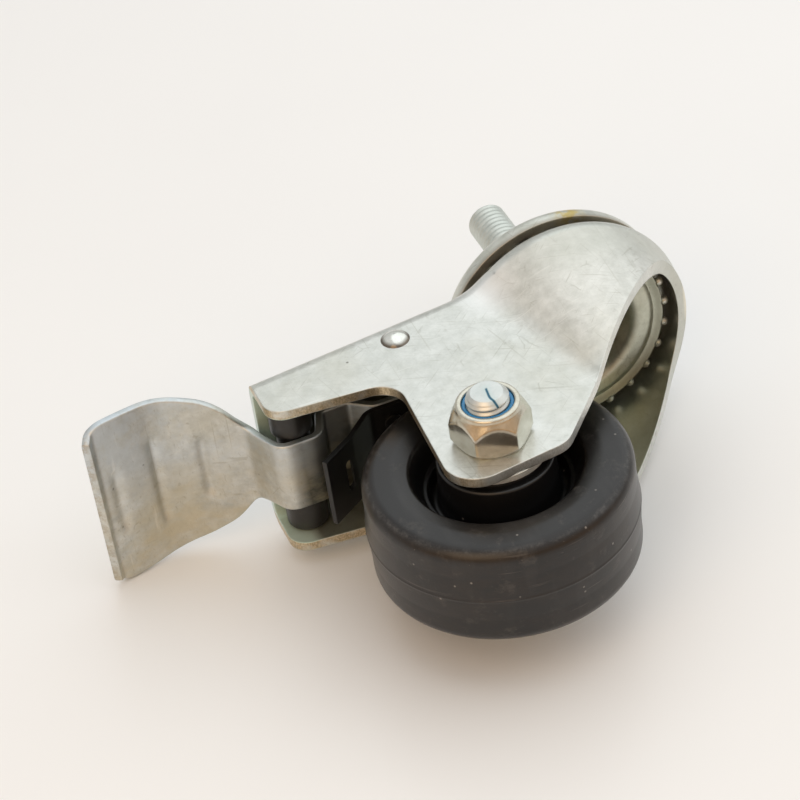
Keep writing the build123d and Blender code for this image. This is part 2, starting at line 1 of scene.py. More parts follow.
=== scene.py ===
"""Looks of the castor: finer meshes with threads, materials, table, surroundings, lights and camera."""

import bpy
import math
import numpy as np
from mathutils import Matrix, Vector


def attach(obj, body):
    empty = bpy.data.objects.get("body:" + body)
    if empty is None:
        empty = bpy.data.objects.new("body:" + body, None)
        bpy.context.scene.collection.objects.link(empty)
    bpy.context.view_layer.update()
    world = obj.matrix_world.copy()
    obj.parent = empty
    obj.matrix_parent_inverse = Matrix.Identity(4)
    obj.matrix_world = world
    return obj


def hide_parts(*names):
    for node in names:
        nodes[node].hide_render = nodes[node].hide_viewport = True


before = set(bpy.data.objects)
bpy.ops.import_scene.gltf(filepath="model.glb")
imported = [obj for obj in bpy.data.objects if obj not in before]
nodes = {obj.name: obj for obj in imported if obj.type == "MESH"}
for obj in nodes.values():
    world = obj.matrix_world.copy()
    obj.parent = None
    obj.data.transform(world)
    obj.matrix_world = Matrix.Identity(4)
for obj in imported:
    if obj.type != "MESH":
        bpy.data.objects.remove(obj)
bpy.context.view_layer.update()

# Places and sizes of the solids, in millimetres
MM = 0.001
CENTRE = (0, 0, 0)
AXLE = (31.0, 0.0, -51.0)
PIN = (36.1, 0.0, -16.3)
STEM_WAY = (0, 0, 1)
AXLE_WAY = (0, 1, 0)
THREAD_PITCH = 1.25
HEX_FLATS = 13.0
HEAD_SEAT = -22.3
NUT_SEAT = 17.0
BOLT_TIP = 27.1
PLATE_HALF_SHEET = 0.9
CUP_HALF_SHEET = 0.75
CUP_FLANGE_HEIGHT = -11.11
TOOTH_COUNT = 25
NOTCH_COUNT = 6

# Pedal strip, in millimetres
STRIP_HALF_SHEET = 0.75
STRIP_FLAT = -20.65
EDGE_RADIUS = 0.35
TONGUE_HALF_WIDTH = 1.5
NECK_HALF_WIDTH = 7.7
PADDLE_CORNER_START = 92.9
PADDLE_CORNER = 4.5
PADDLE_FLAT_HALF_WIDTH = 14.2
RIBS = ((75.1, 13.0), (84.3, 19.0), (92.6, 13.0))
RIB_HEIGHT = 0.6
EAR_RADIUS = 3.6
EAR_DROP = 4.0
EAR_SIDES = (6.2, 7.7)

# Places on the surfaces, in metres
# Middle of the painted highlight on the fork's +Y bend.
BEND_HIGHLIGHT_SPOT = (0.0157, 0.0168, -0.0128)
GREASE_SPOT = (-0.0052, 0.0216, -0.003)


# Meshes. All sizes are in millimetres here and become metres in make().
def make(name, verts, faces, smooth_angle=35):
    mesh = bpy.data.meshes.new(name)
    mesh.from_pydata([tuple(c * MM for c in v) for v in verts], [], faces)
    mesh.validate()
    mesh.polygons.foreach_set("use_smooth", [True] * len(mesh.polygons))
    mesh.set_sharp_from_angle(angle=math.radians(smooth_angle))
    piece = bpy.data.objects.new(name, mesh)
    bpy.context.scene.collection.objects.link(piece)
    return piece


def rounded(points, radii, steps=6):
    """The line through points with each inner corner rounded to its radius."""
    line = [points[0]]
    for i in range(1, len(points) - 1):
        a, b, c = (np.array(points[j], float) for j in (i - 1, i, i + 1))
        to_a, to_c = np.linalg.norm(a - b), np.linalg.norm(c - b)
        u, v = (a - b) / to_a, (c - b) / to_c
        half = math.acos(max(-1, min(1, float(u @ v)))) / 2
        if radii[i] <= 0 or half > math.pi / 2 - 0.02:
            line.append(tuple(b))
            continue
        reach = min(radii[i] / math.tan(half), 0.49 * to_a, 0.49 * to_c)
        radius = reach * math.tan(half)
        middle = b + (u + v) / np.linalg.norm(u + v) * (radius / math.sin(half))
        start, end = b + u * reach - middle, b + v * reach - middle
        turn = math.pi - 2 * half
        for k in range(steps + 1):
            t = k / steps
            p = (math.sin((1 - t) * turn) * start + math.sin(t * turn) * end) / math.sin(turn)
            line.append(tuple(middle + p))
    line.append(points[-1])
    return line


def basis(axis):
    w = np.array(axis, float)
    u = np.array((1.0, 0, 0)) if abs(w[0]) < 0.5 else np.array((0, 1.0, 0))
    return u, np.cross(w, u), w


def turned(name, profile, at, axis, count=144, closed=False, radius=None, smooth_angle=35):
    """A turned piece. profile is (radius, height) pairs; radius(r, h, angle) may reshape it."""
    u, v, w = basis(axis)
    verts, faces = [], []
    rows = len(profile)
    for r, h in profile:
        for k in range(count):
            angle = 2 * math.pi * k / count
            q = radius(r, h, angle) if radius else r
            spoke = math.cos(angle) * u + math.sin(angle) * v
            verts.append(tuple(np.array(at) + w * h + q * spoke))
    for i in range(rows if closed else rows - 1):
        j = (i + 1) % rows
        for k in range(count):
            m = (k + 1) % count
            faces.append((i * count + k, i * count + m, j * count + m, j * count + k))
    if not closed:
        faces.append(tuple(range(count - 1, -1, -1)))
        faces.append(tuple((rows - 1) * count + k for k in range(count)))
    return make(name, verts, faces, smooth_angle)


def threaded(name, low, high, radius, at, axis, depth, count):
    """A rod whose side is a screw thread, with a 45 degree chamfer 1 mm high at its top."""
    chamfer = 1.0
    rows = int((high - low) / THREAD_PITCH * 14)
    profile = [(radius, low + (high - low) * i / rows) for i in range(rows + 1)]

    def form(r, h, angle):
        phase = (h / THREAD_PITCH - angle / (2 * math.pi)) % 1.0
        ramp = abs(2 * phase - 1)
        cut = min(1, max(0, (ramp - 0.12) / 0.76))
        fade = min(1, max(0, (h - low) / (1.2 * THREAD_PITCH)))
        top = radius - max(0, h - (high - chamfer))
        return min(radius - depth * cut * fade, top)

    return turned(name, profile, at, axis, count, radius=form, smooth_angle=50)


def join(name, *pieces):
    """One object from several meshes."""
    verts, faces, shift = [], [], 0
    for piece in pieces:
        mesh = piece.data
        verts += [tuple(v.co) for v in mesh.vertices]
        faces += [tuple(i + shift for i in p.vertices) for p in mesh.polygons]
        shift += len(mesh.vertices)
        bpy.data.objects.remove(piece)
    mesh = bpy.data.meshes.new(name)
    mesh.from_pydata(verts, [], faces)
    mesh.polygons.foreach_set("use_smooth", [True] * len(mesh.polygons))
    mesh.set_sharp_from_angle(angle=math.radians(38))
    whole = bpy.data.objects.new(name, mesh)
    bpy.context.scene.collection.objects.link(whole)
    return whole


def hexed(flats, turn, low_cone, high_cone, low, high, low_slope=1.7, high_slope=1.7):
    """Radius of a hexagon chamfered at both ends. It shapes the rows whose radius is below zero."""

    def form(r, h, angle):
        local = (angle - turn) % (math.pi / 3) - math.pi / 6
        side = flats / 2 / math.cos(local)
        low_limit = low_cone + (h - low) * low_slope
        high_limit = high_cone + (high - h) * high_slope
        return min(side, low_limit, high_limit) if r < 0 else r

    return form


def thick(line, half):
    """Both sides of a line, as a closed ring of points."""
    pts = np.array(line, float)
    way = np.gradient(pts, axis=0)
    way /= np.linalg.norm(way, axis=1)[:, None]
    side = np.stack([-way[:, 1], way[:, 0]], axis=1) * half
    return [tuple(p) for p in pts + side] + [tuple(p) for p in (pts - side)[::-1]]


# Shader nodes
def tree(name):
    material = bpy.data.materials.new(name)
    material.use_nodes = True
    material.node_tree.nodes.clear()
    return material, material.node_tree


def node(nt, kind, links=None, **values):
    made = nt.nodes.new("ShaderNode" + kind)
    for key, value in values.items():
        setattr(made, key, value)
    for key, value in (links or {}).items():
        if isinstance(value, bpy.types.NodeSocket):
            nt.links.new(value, made.inputs[key])
        else:
            made.inputs[key].default_value = value
    return made


def object_place(nt):
    return node(nt, "TexCoord").outputs["Object"]


def noise(nt, co, scale, detail=4.0, rough=0.55, stretch=None, turn=(0, 0, 0)):
    """Noise, stretched or not. turn comes after the stretch, so it only picks another part of the noise."""
    if stretch:
        co = node(nt, "Mapping", {"Vector": co, "Scale": stretch, "Rotation": turn}).outputs[0]
    ins = {"Vector": co, "Scale": scale, "Detail": detail, "Roughness": rough}
    return node(nt, "TexNoise", ins).outputs["Fac"]


def span(nt, value, low, high, to_low=0.0, to_high=1.0):
    ins = {"Value": value, "From Min": low, "From Max": high, "To Min": to_low, "To Max": to_high}
    return node(nt, "MapRange", ins, clamp=True).outputs[0]


def maths(nt, what, a, b=0.0):
    return node(nt, "Math", {0: a, 1: b}, operation=what).outputs[0]


def times(nt, first, *others):
    """The product of several values."""
    for other in others:
        first = maths(nt, "MULTIPLY", first, other)
    return first


def mix(nt, fac, a, b):
    made = nt.nodes.new("ShaderNodeMix")
    made.data_type = "RGBA"
    made.blend_type = "MIX"
    for index, value in ((0, fac), (6, a), (7, b)):
        if isinstance(value, bpy.types.NodeSocket):
            nt.links.new(value, made.inputs[index])
        else:
            made.inputs[index].default_value = value
    return made.outputs[2]


def rgb(r, g, b):
    return (r, g, b, 1.0)


def lines(nt, co, tilt):
    """Fine straight scratches whose way is tilted from the object's X."""
    ins = {"Vector": co, "Angle": tilt, "Axis": (0.15, 1.0, 0.1)}
    tilted = node(nt, "VectorRotate", ins).outputs[0]
    drawn = node(nt, "Mapping", {"Vector": tilted, "Scale": (75.0, 600.0, 3000.0)}).outputs[0]
    return span(nt, noise(nt, drawn, 1.0, 2.0, 0.5), 0.66, 0.73)


def specks(nt, co, scale, size, picked):
    """Small dots in some cells. size is where a dot fades, picked the random values that have one."""
    cells = node(nt, "TexVoronoi", {"Vector": co, "Scale": scale, "Randomness": 1.0})
    near = span(nt, cells.outputs["Distance"], *size, 1, 0)
    pick = node(nt, "SeparateColor", {0: cells.outputs["Color"]}).outputs[0]
    return times(nt, near, span(nt, pick, *picked))


def split(nt, co):
    made = node(nt, "SeparateXYZ", {0: co}).outputs
    return made[0], made[1], made[2]


def facing(nt):
    """The three parts of the surface's normal."""
    return split(nt, node(nt, "NewGeometry").outputs["Normal"])


def outward(nt, y, ny):
    """1 where a side faces away from the middle plane, -1 where it faces it."""
    return times(nt, maths(nt, "SIGN", y), ny)


def band(nt, value, low, high, soft):
    """1 between low and high, 0 outside, with soft ends."""
    rise = span(nt, value, low - soft, low + soft)
    return times(nt, rise, span(nt, value, high - soft, high + soft, 1, 0))


def length_of(nt, a, b):
    """The length of a line whose two parts are a and b."""
    return maths(nt, "SQRT", maths(nt, "ADD", times(nt, a, a), times(nt, b, b)))


def off_centre(nt, x, z, centre_x, centre_z):
    return maths(nt, "SUBTRACT", x, centre_x * MM), maths(nt, "SUBTRACT", z, centre_z * MM)


def distance(nt, co, spot):
    return node(nt, "VectorMath", {0: co, 1: spot}, operation="DISTANCE").outputs["Value"]


def bump(nt, height, strength, depth, normal):
    ins = {"Strength": strength, "Distance": depth, "Height": height, "Normal": normal}
    return node(nt, "Bump", ins).outputs[0]


def finish_material(nt, base, metallic, roughness, normal):
    ins = {"Base Color": base, "Metallic": metallic, "Roughness": roughness, "Normal": normal}
    shader = node(nt, "BsdfPrincipled", ins)
    nt.links.new(shader.outputs[0], node(nt, "OutputMaterial").inputs[0])


# The two kinds of material
def veins(nt, co):
    """Thin bent marks along the edges of cells, broken up by a noise."""
    shift = node(nt, "TexNoise", {"Vector": co, "Scale": 160.0, "Detail": 2.0}).outputs["Color"]
    small = node(nt, "VectorMath", {0: shift, "Scale": 0.004}, operation="SCALE").outputs[0]
    bent = node(nt, "VectorMath", {0: co, 1: small}, operation="ADD").outputs[0]
    cells = node(nt, "TexVoronoi", {"Vector": bent, "Scale": 85.0}, feature="DISTANCE_TO_EDGE")
    edge = span(nt, cells.outputs["Distance"], 0.004, 0.014, 1, 0)
    return times(nt, edge, span(nt, noise(nt, co, 170, 3), 0.56, 0.62))


def stained(nt, co, colour, film, worn):
    """Yellowed film, smudges and dark spots of a plated sheet, with its thin marks."""
    colour = mix(nt, times(nt, film, 0.25 * worn), colour, rgb(0.60, 0.58, 0.46))
    smudge = span(nt, noise(nt, co, 330, 8, 0.80, (1, 0.6, 1.7)), 0.54, 0.74)
    colour = mix(nt, times(nt, smudge, 0.20 * worn), colour, rgb(0.42, 0.42, 0.35))
    colour = mix(nt, times(nt, veins(nt, co), 0.26 * worn), colour, rgb(0.27, 0.26, 0.20))
    spots = span(nt, noise(nt, co, 620, 5, 0.75), 0.60, 0.72)
    return mix(nt, times(nt, spots, 0.30 * worn), colour, rgb(0.30, 0.29, 0.23))


def scratched(nt, co, colour, hair, worn):
    """Bright and dark hair lines, straight scratches in three ways and small dark specks."""
    colour = mix(nt, times(nt, hair, 0.45 * worn), colour, rgb(0.86, 0.86, 0.82))
    dark_hair = span(nt, noise(nt, co, 1.0, 3, 0.5, (2200, 40, 40), (0.3, -0.7, 0.1)), 0.66, 0.74)
    colour = mix(nt, times(nt, dark_hair, 0.32 * worn), colour, rgb(0.36, 0.35, 0.28))
    for tilt, strength in ((0.45, 0.42), (-0.75, 0.36), (1.35, 0.30)):
        colour = mix(nt, times(nt, lines(nt, co, tilt), strength * worn), colour, rgb(0.36, 0.35, 0.29))
    dots = specks(nt, co, 300.0, (0.04, 0.10), (0.88, 0.90))
    return mix(nt, times(nt, dots, 0.75 * worn), colour, rgb(0.10, 0.09, 0.06))


def steel_relief(nt, co, edge, cloud, patch, hair):
    """Soft edges, slow waves, fine grain and hair lines."""
    soft = node(nt, "Bevel", {"Radius": edge}, samples=6).outputs[0]
    relief = bump(nt, cloud, 0.13, 0.00025, soft)
    relief = bump(nt, patch, 0.40, 0.00003, relief)
    relief = bump(nt, noise(nt, co, 1500, 3, 0.6), 0.30, 0.00001, relief)
    return bump(nt, hair, 0.6, 0.00001, relief)


def steel(name, light, dark, rough=(0.26, 0.42), edge=0.0003, grime_and_painted_light=None, worn=1.0, matt=None):
    """Zinc-plated sheet: cloudy, with dull and yellowed patches, dark specks, scratches and soft edges."""
    material, nt = tree(name)
    co = object_place(nt)
    cloud = noise(nt, co, 95, 8, 0.68)
    patch = noise(nt, co, 430, 6, 0.68)
    film = span(nt, noise(nt, co, 38, 5, 0.65, (1, 1.3, 0.8)), 0.46, 0.66)
    hair = span(nt, noise(nt, co, 1.0, 2, 0.5, (70, 70, 2600), (0, 0.5, 0.2)), 0.68, 0.75)
    mottle = span(nt, maths(nt, "ADD", times(nt, cloud, 0.4), times(nt, patch, 0.6)), 0.38, 0.64)
    colour = stained(nt, co, mix(nt, mottle, dark, light), film, worn)
    colour = scratched(nt, co, colour, hair, worn)
    # The hook adds marks, and on some pieces painted light and shade too.
    if grime_and_painted_light:
        colour = grime_and_painted_light(nt, co, colour)
    dull = maths(nt, "ADD", times(nt, patch, 0.6), times(nt, cloud, 0.4))
    dull_hair = span(nt, noise(nt, co, 1.0, 2, 0.5, (2400, 80, 60), (0, 0.25, 0)), 0.70, 0.77)
    marks = times(nt, maths(nt, "ADD", dull_hair, film), 0.07)
    roughness = maths(nt, "ADD", span(nt, dull, 0.3, 0.7, *rough), marks)
    metal = span(nt, matt(nt, co), 0.0, 1.0, 0.90, 0.10) if matt else 0.90
    finish_material(nt, colour, metal, roughness, steel_relief(nt, co, edge, cloud, patch, hair))
    return material


def plastic(name, base, rough=(0.38, 0.52), dust=0.0, dirt_and_painted_light=None, edge=0.0002):
    """Moulded plastic with a fine grain, scuffs and specks of dust."""
    material, nt = tree(name)
    co = object_place(nt)
    cloud = noise(nt, co, 70, 5, 0.6)
    scuff = span(nt, noise(nt, co, 260, 6, 0.75), 0.56, 0.78)
    colour = mix(nt, span(nt, cloud, 0.35, 0.7), base, rgb(*(c * 1.35 for c in base[:3])))
    colour = mix(nt, times(nt, scuff, 0.25 * dust), colour, rgb(0.20, 0.18, 0.16))
    # The hook adds dirt, and on the wheel painted light and shade too.
    if dirt_and_painted_light:
        colour = dirt_and_painted_light(nt, co, colour)
    if dust:
        dots = specks(nt, co, 420.0, (0.05, 0.12), (0.80, 0.82))
        colour = mix(nt, times(nt, dots, 0.36 * dust), colour, rgb(0.55, 0.52, 0.48))
    dull = maths(nt, "ADD", times(nt, cloud, 0.5), times(nt, scuff, 0.3))
    soft = node(nt, "Bevel", {"Radius": edge}, samples=4).outputs[0]
    relief = bump(nt, noise(nt, co, 2200, 2, 0.5), 0.5, 0.00002, soft)
    relief = bump(nt, scuff, 0.3, 0.00008, relief)
    finish_material(nt, colour, 0.0, span(nt, dull, 0.2, 0.7, *rough), relief)
    return material


# What lies on single pieces, painted light and shade among it. Lengths are in metres from here to the
# pieces.
def tread_dirt_and_painted_light(nt, co, colour):
    """Floor dust, lint and rubs on the tread, a painted highlight along the face's outer edge, and painted
    shade that blackens the recess.
    """
    x, y, z = split(nt, co)
    out = length_of(nt, *off_centre(nt, x, z, AXLE[0], AXLE[2]))
    rim = span(nt, out, 0.0222, 0.0246)
    dust = span(nt, noise(nt, co, 90, 7, 0.72, (1, 2.2, 1)), 0.40, 0.72)
    colour = mix(nt, times(nt, rim, dust, 0.16), colour, rgb(0.085, 0.052, 0.032))
    lint = span(nt, noise(nt, co, 760, 5, 0.8), 0.655, 0.70)
    shoulders = band(nt, maths(nt, "ABSOLUTE", y), 0.0078, 0.0104, 0.0012)
    colour = mix(nt, times(nt, lint, shoulders, rim, 0.55), colour, rgb(0.42, 0.38, 0.33))
    rub = span(nt, noise(nt, co, 1.0, 3, 0.6, (60, 1500, 60), (0.2, 0, 0.1)), 0.66, 0.74)
    colour = mix(nt, times(nt, rub, rim, 0.35), colour, rgb(0.16, 0.14, 0.125))
    # Painted highlight: a light line along the face's outer edge, broken up by scuffs.
    scuffs = span(nt, noise(nt, co, 620, 6, 0.8), 0.46, 0.66)
    painted_edge_highlight = times(nt, band(nt, out, 0.0231, 0.0238, 0.0003), scuffs)
    colour = mix(nt, times(nt, painted_edge_highlight, 0.35), colour, rgb(0.15, 0.145, 0.14))
    smear = span(nt, noise(nt, co, 1.0, 4, 0.6, (260, 40, 70), (0, 0.9, 0)), 0.52, 0.72)
    colour = mix(nt, times(nt, smear, 0.10), colour, rgb(0.10, 0.098, 0.096))
    # Painted shade: the recess is blackened.
    recess = span(nt, out, 0.0157, 0.0150)
    return mix(nt, recess, colour, rgb(0.0045, 0.0045, 0.005))


def blue_smear(nt, co, colour):
    """A curved teal mark with a faint haze that runs over the bolt's end to its rim."""
    x, y, z = split(nt, co)
    dx, dz = off_centre(nt, x, z, AXLE[0] - 0.1, AXLE[2])
    wobble = times(nt, noise(nt, co, 260, 1), 0.0006)
    bow = times(nt, dz, dz, 75.0)
    lean = maths(nt, "SUBTRACT", times(nt, dz, 0.20), maths(nt, "SUBTRACT", wobble, 0.0003))
    line = maths(nt, "ABSOLUTE", maths(nt, "ADD", dx, maths(nt, "ADD", lean, bow)))
    end = span(nt, y, 0.0258, 0.0260)
    haze = times(nt, span(nt, line, 0.0003, 0.0011, 1, 0), band(nt, dz, -0.0042, 0.0016, 0.0004))
    colour = mix(nt, times(nt, haze, end, 0.14), colour, rgb(0.30, 0.55, 0.55))
    mark = times(nt, span(nt, line, 0.00012, 0.00030, 1, 0), band(nt, dz, -0.0042, 0.0008, 0.0002))
    return mix(nt, times(nt, mark, end, 0.95), colour, rgb(0.012, 0.10, 0.16))


def plate_grease(nt, co, colour):
    """A smear of yellow grease at the plate's edge, and a darker brown underside."""
    x, y, z = split(nt, co)
    near = span(nt, distance(nt, co, GREASE_SPOT), 0.0012, 0.0040, 1, 0)
    smear = times(nt, near, span(nt, noise(nt, co, 500, 4), 0.38, 0.55))
    colour = mix(nt, times(nt, smear, 0.85), colour, rgb(0.62, 0.47, 0.12))
    under = times(nt, span(nt, z, -0.0030, -0.0042), 0.55)
    return mix(nt, under, colour, rgb(0.22, 0.15, 0.08))


def cup_tones_and_highlights(nt, co, colour):
    """A darker brown middle, a darker flange and painted highlights on the tooth ends."""
    x, y, z = split(nt, co)
    out = length_of(nt, x, y)
    colour = mix(nt, times(nt, span(nt, out, 0.0142, 0.0100), 0.80), colour, rgb(0.18, 0.16, 0.09))
    flange = times(nt, band(nt, out, 0.0176, 0.0191, 0.0005), 0.60)
    colour = mix(nt, flange, colour, rgb(0.25, 0.25, 0.19))
    # Painted highlights: the tooth ends are near white.
    return mix(nt, span(nt, out, 0.0193, 0.0198), colour, rgb(0.92, 0.90, 0.84))


def pedal_stains_and_painted_shade(nt, co, colour):
    """Painted shade on the strip inside the fork, brown and bluish stains and a rusty end on the paddle."""
    x, y, z = split(nt, co)
    # Painted shade: the strip turns near black where it runs inside the fork.
    edge = maths(nt, "ADD", x, span(nt, noise(nt, co, 160, 3), 0.3, 0.7, -0.0002, 0.0002))
    inside = times(nt, span(nt, edge, 0.0624, 0.0592), 0.92)
    colour = mix(nt, inside, colour, rgb(0.060, 0.062, 0.045))
    stain = span(nt, noise(nt, co, 70, 7, 0.72, (0.8, 1.4, 1)), 0.40, 0.62)
    stain_share = span(nt, y, 0.014, -0.012, 0.06, 0.62)
    colour = mix(nt, times(nt, stain, stain_share), colour, rgb(0.60, 0.52, 0.34))
    cool = times(nt, span(nt, y, -0.004, 0.010), span(nt, noise(nt, co, 60, 5, 0.7), 0.40, 0.58))
    colour = mix(nt, times(nt, cool, 0.55), colour, rgb(0.62, 0.71, 0.80))
    tip = times(nt, span(nt, x, 0.0945, 0.0972), span(nt, noise(nt, co, 420, 6, 0.8), 0.46, 0.60))
    return mix(nt, times(nt, tip, 0.55), colour, rgb(0.34, 0.25, 0.13))


def nut_painted_reflection(nt, co, colour):
    """A darker tone on the nut's flat towards -Z, in place of the dark that it mirrors in the photograph."""
    x, y, z = split(nt, co)
    dx, dz = off_centre(nt, x, z, AXLE[0], AXLE[2])
    out = maths(nt, "SUBTRACT", times(nt, dx, 0.225), times(nt, dz, 0.974))
    cloudy = span(nt, noise(nt, co, 260, 4), 0.25, 0.50, 0.5, 1.0)
    # Painted dark reflection on the flat towards -Z.
    film = times(nt, span(nt, out, 0.00630, 0.00648), cloudy)
    return mix(nt, times(nt, film, 0.62), colour, rgb(0.27, 0.225, 0.17))


def pin_painted_shade(nt, co, colour):
    """Painted brown shade round the rivet's head."""
    x, y, z = split(nt, co)
    out = length_of(nt, *off_centre(nt, x, z, PIN[0], PIN[2]))
    return mix(nt, times(nt, span(nt, out, 0.0019, 0.0025), 0.9), colour, rgb(0.10, 0.07, 0.045))


def fork_marks_and_painted_light(nt, co, colour):
    """Everything on the fork: painted shade and light on its inside, painted shade and a painted highlight
    on its crown and bend, its sheared edges and its rim.
    """
    x, y, z = split(nt, co)
    nx, ny, nz = facing(nt)
    side = maths(nt, "ABSOLUTE", y)
    inside = span(nt, outward(nt, y, ny), -0.15, -0.55)
    colour = fork_inside(nt, co, colour, (x, z, side, nz), inside)
    colour = fork_tones(nt, co, colour, (x, z), inside)
    colour = fork_edges(nt, co, colour, (x, z, side), ny)
    lower_face = span(nt, nz, -0.6, -0.9)
    rim = times(nt, band(nt, z, -0.0137, -0.0129, 0.0001), lower_face, span(nt, x, 0.002, -0.002))
    return mix(nt, times(nt, rim, 0.75), colour, rgb(0.96, 0.92, 0.78))


def fork_inside(nt, co, colour, place, inside):
    """Painted olive shade on the inside faces, painted light on the end of the web and painted shade under
    it.
    """
    x, z, side, nz = place
    # Painted shade: the inside faces are toned darker olive.
    colour = mix(nt, times(nt, inside, 0.55), colour, rgb(0.54, 0.57, 0.41))
    # Painted light: a pale patch on the end of the web.
    web = times(nt, matt_places(nt, co), span(nt, x, 0.050, 0.055))
    colour = mix(nt, times(nt, web, 0.9), colour, rgb(0.58, 0.78, 0.70))
    # Painted shade under the web, near black.
    below = times(nt, span(nt, nz, -0.3, -0.7), span(nt, side, 0.0150, 0.0146))
    under = times(nt, band(nt, x, 0.034, 0.0582, 0.0008), below)
    return mix(nt, times(nt, under, 0.85), colour, rgb(0.09, 0.09, 0.065))


def fork_tones(nt, co, colour, place, inside):
    """A darker crown and a brighter +Y bend, which stand in for the photograph's light."""
    x, z = place
    # Painted shade: the crown is darkened.
    drawn = times(nt, span(nt, x, 0.012, 0.000), maths(nt, "SUBTRACT", 1.0, inside))
    drawn = times(nt, drawn, span(nt, z, -0.022, -0.015))
    colour = mix(nt, times(nt, drawn, 0.40), colour, rgb(0.47, 0.49, 0.43))
    # Painted highlight on the +Y bend.
    bent = span(nt, distance(nt, co, BEND_HIGHLIGHT_SPOT), 0.0075, 0.001)
    return mix(nt, times(nt, bent, 0.7), colour, rgb(0.93, 0.93, 0.92))


def fork_edges(nt, co, colour, place, ny):
    """Grainy sheared edges: bright at the front of the legs, gold-brown on the arms."""
    x, z, side = place
    flat = span(nt, maths(nt, "ABSOLUTE", ny), 0.35, 0.2)
    sheared = times(nt, band(nt, side, 0.01512, 0.01688, 0.0001), flat)
    torn = times(nt, band(nt, side, 0.01512, 0.01680, 0.0001), flat)
    grains = span(nt, noise(nt, co, 1.0, 3, 0.7, (3000, 1800, 3000)), 0.40, 0.58)
    rust = times(nt, torn, span(nt, x, 0.036, 0.040), span(nt, noise(nt, co, 260, 5), 0.30, 0.50))
    front = times(nt, sheared, span(nt, x, 0.036, 0.030), span(nt, z, -0.018, -0.024))
    colour = mix(nt, times(nt, front, 0.5), colour, rgb(0.93, 0.93, 0.90))
    colour = mix(nt, times(nt, front, grains, 0.45), colour, rgb(0.42, 0.41, 0.36))
    colour = mix(nt, times(nt, rust, 0.80), colour, rgb(0.68, 0.55, 0.34))
    return mix(nt, times(nt, rust, grains, 0.50), colour, rgb(0.16, 0.12, 0.06))


def matt_places(nt, co):
    """Where the fork is less metallic: the end of the web, and the valley under the crown.

    Neither is duller on the object. Both stand in for brighter surroundings there, and the web's end also
    gets painted light in fork_inside.
    """
    x, y, z = split(nt, co)
    nx, ny, nz = facing(nt)
    end = times(nt, span(nt, x, 0.0585, 0.0605), span(nt, maths(nt, "ABSOLUTE", y), 0.0154, 0.0150))
    web = times(nt, end, span(nt, nz, 0.3, -0.2))
    outside = span(nt, outward(nt, y, ny), 0.25, 0.6)
    valley = times(nt, band(nt, z, -0.042, -0.009, 0.002), outside, span(nt, nz, -0.01, -0.20))
    return maths(nt, "MAXIMUM", web, times(nt, valley, 0.95))


zinc = steel(
    "zinc_sheet", rgb(0.76, 0.77, 0.735), rgb(0.57, 0.58, 0.54), grime_and_painted_light=fork_marks_and_painted_light, matt=matt_places
)
zinc_plate = steel("zinc_plate", rgb(0.76, 0.77, 0.72), rgb(0.58, 0.59, 0.53), grime_and_painted_light=plate_grease)
zinc_cup = steel(
    "zinc_cup", rgb(0.68, 0.71, 0.62), rgb(0.47, 0.49, 0.40), rough=(0.28, 0.42), grime_and_painted_light=cup_tones_and_highlights
)
zinc_pedal = steel(
    "zinc_pedal", rgb(0.71, 0.735, 0.72), rgb(0.47, 0.485, 0.46), rough=(0.34, 0.50),
    grime_and_painted_light=pedal_stains_and_painted_shade, worn=1.2
)
zinc_bright = steel(
    "zinc_bright", rgb(0.86, 0.87, 0.84), rgb(0.74, 0.75, 0.70), rough=(0.16, 0.28), edge=0.00015, worn=0.5
)
zinc_bolt = steel(
    "zinc_bolt", rgb(0.72, 0.74, 0.72), rgb(0.58, 0.61, 0.59), rough=(0.30, 0.42), edge=0.0002,
    grime_and_painted_light=blue_smear, worn=0.4
)
zinc_stem = steel(
    "zinc_stem", rgb(0.70, 0.73, 0.69), rgb(0.56, 0.59, 0.55), rough=(0.38, 0.54), edge=0.00035, worn=0.5
)
ball_steel = steel(
    "ball_steel", rgb(0.80, 0.80, 0.80), rgb(0.70, 0.68, 0.62), rough=(0.08, 0.18), edge=0.0001, worn=0.2
)
zinc_washer = steel(
    "zinc_washer", rgb(0.90, 0.90, 0.86), rgb(0.78, 0.78, 0.72), rough=(0.40, 0.55), edge=0.00015, worn=0.4
)
zinc_pin = steel(
    "zinc_pin", rgb(0.84, 0.85, 0.82), rgb(0.66, 0.66, 0.60), rough=(0.13, 0.22), edge=0.0001,
    grime_and_painted_light=pin_painted_shade, worn=0.6
)
nut_steel = steel(
    "nut_steel", rgb(0.72, 0.70, 0.62), rgb(0.50, 0.47, 0.38), rough=(0.11, 0.20), edge=0.0004,
    grime_and_painted_light=nut_painted_reflection, worn=0.6
)
black_steel = plastic("black_leaf", rgb(0.003, 0.003, 0.003), rough=(0.42, 0.55), dust=0.1)
wheel_black = plastic(
    "wheel_black", rgb(0.0062, 0.0053, 0.0049), rough=(0.31, 0.43), dust=1.0, dirt_and_painted_light=tread_dirt_and_painted_light, edge=0.0003
)
boss_black = plastic("boss_black", rgb(0.012, 0.012, 0.012), rough=(0.34, 0.46), dust=0.4)
blue_nylon = plastic("blue_nylon", rgb(0.03, 0.20, 0.42), rough=(0.25, 0.35))


def dress(piece, material, body, node_name):
    """Material, slot, body and the CAD node that a piece stands for."""
    piece.data.materials.clear()
    piece.data.materials.append(material)
    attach(piece, body)
    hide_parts(node_name)


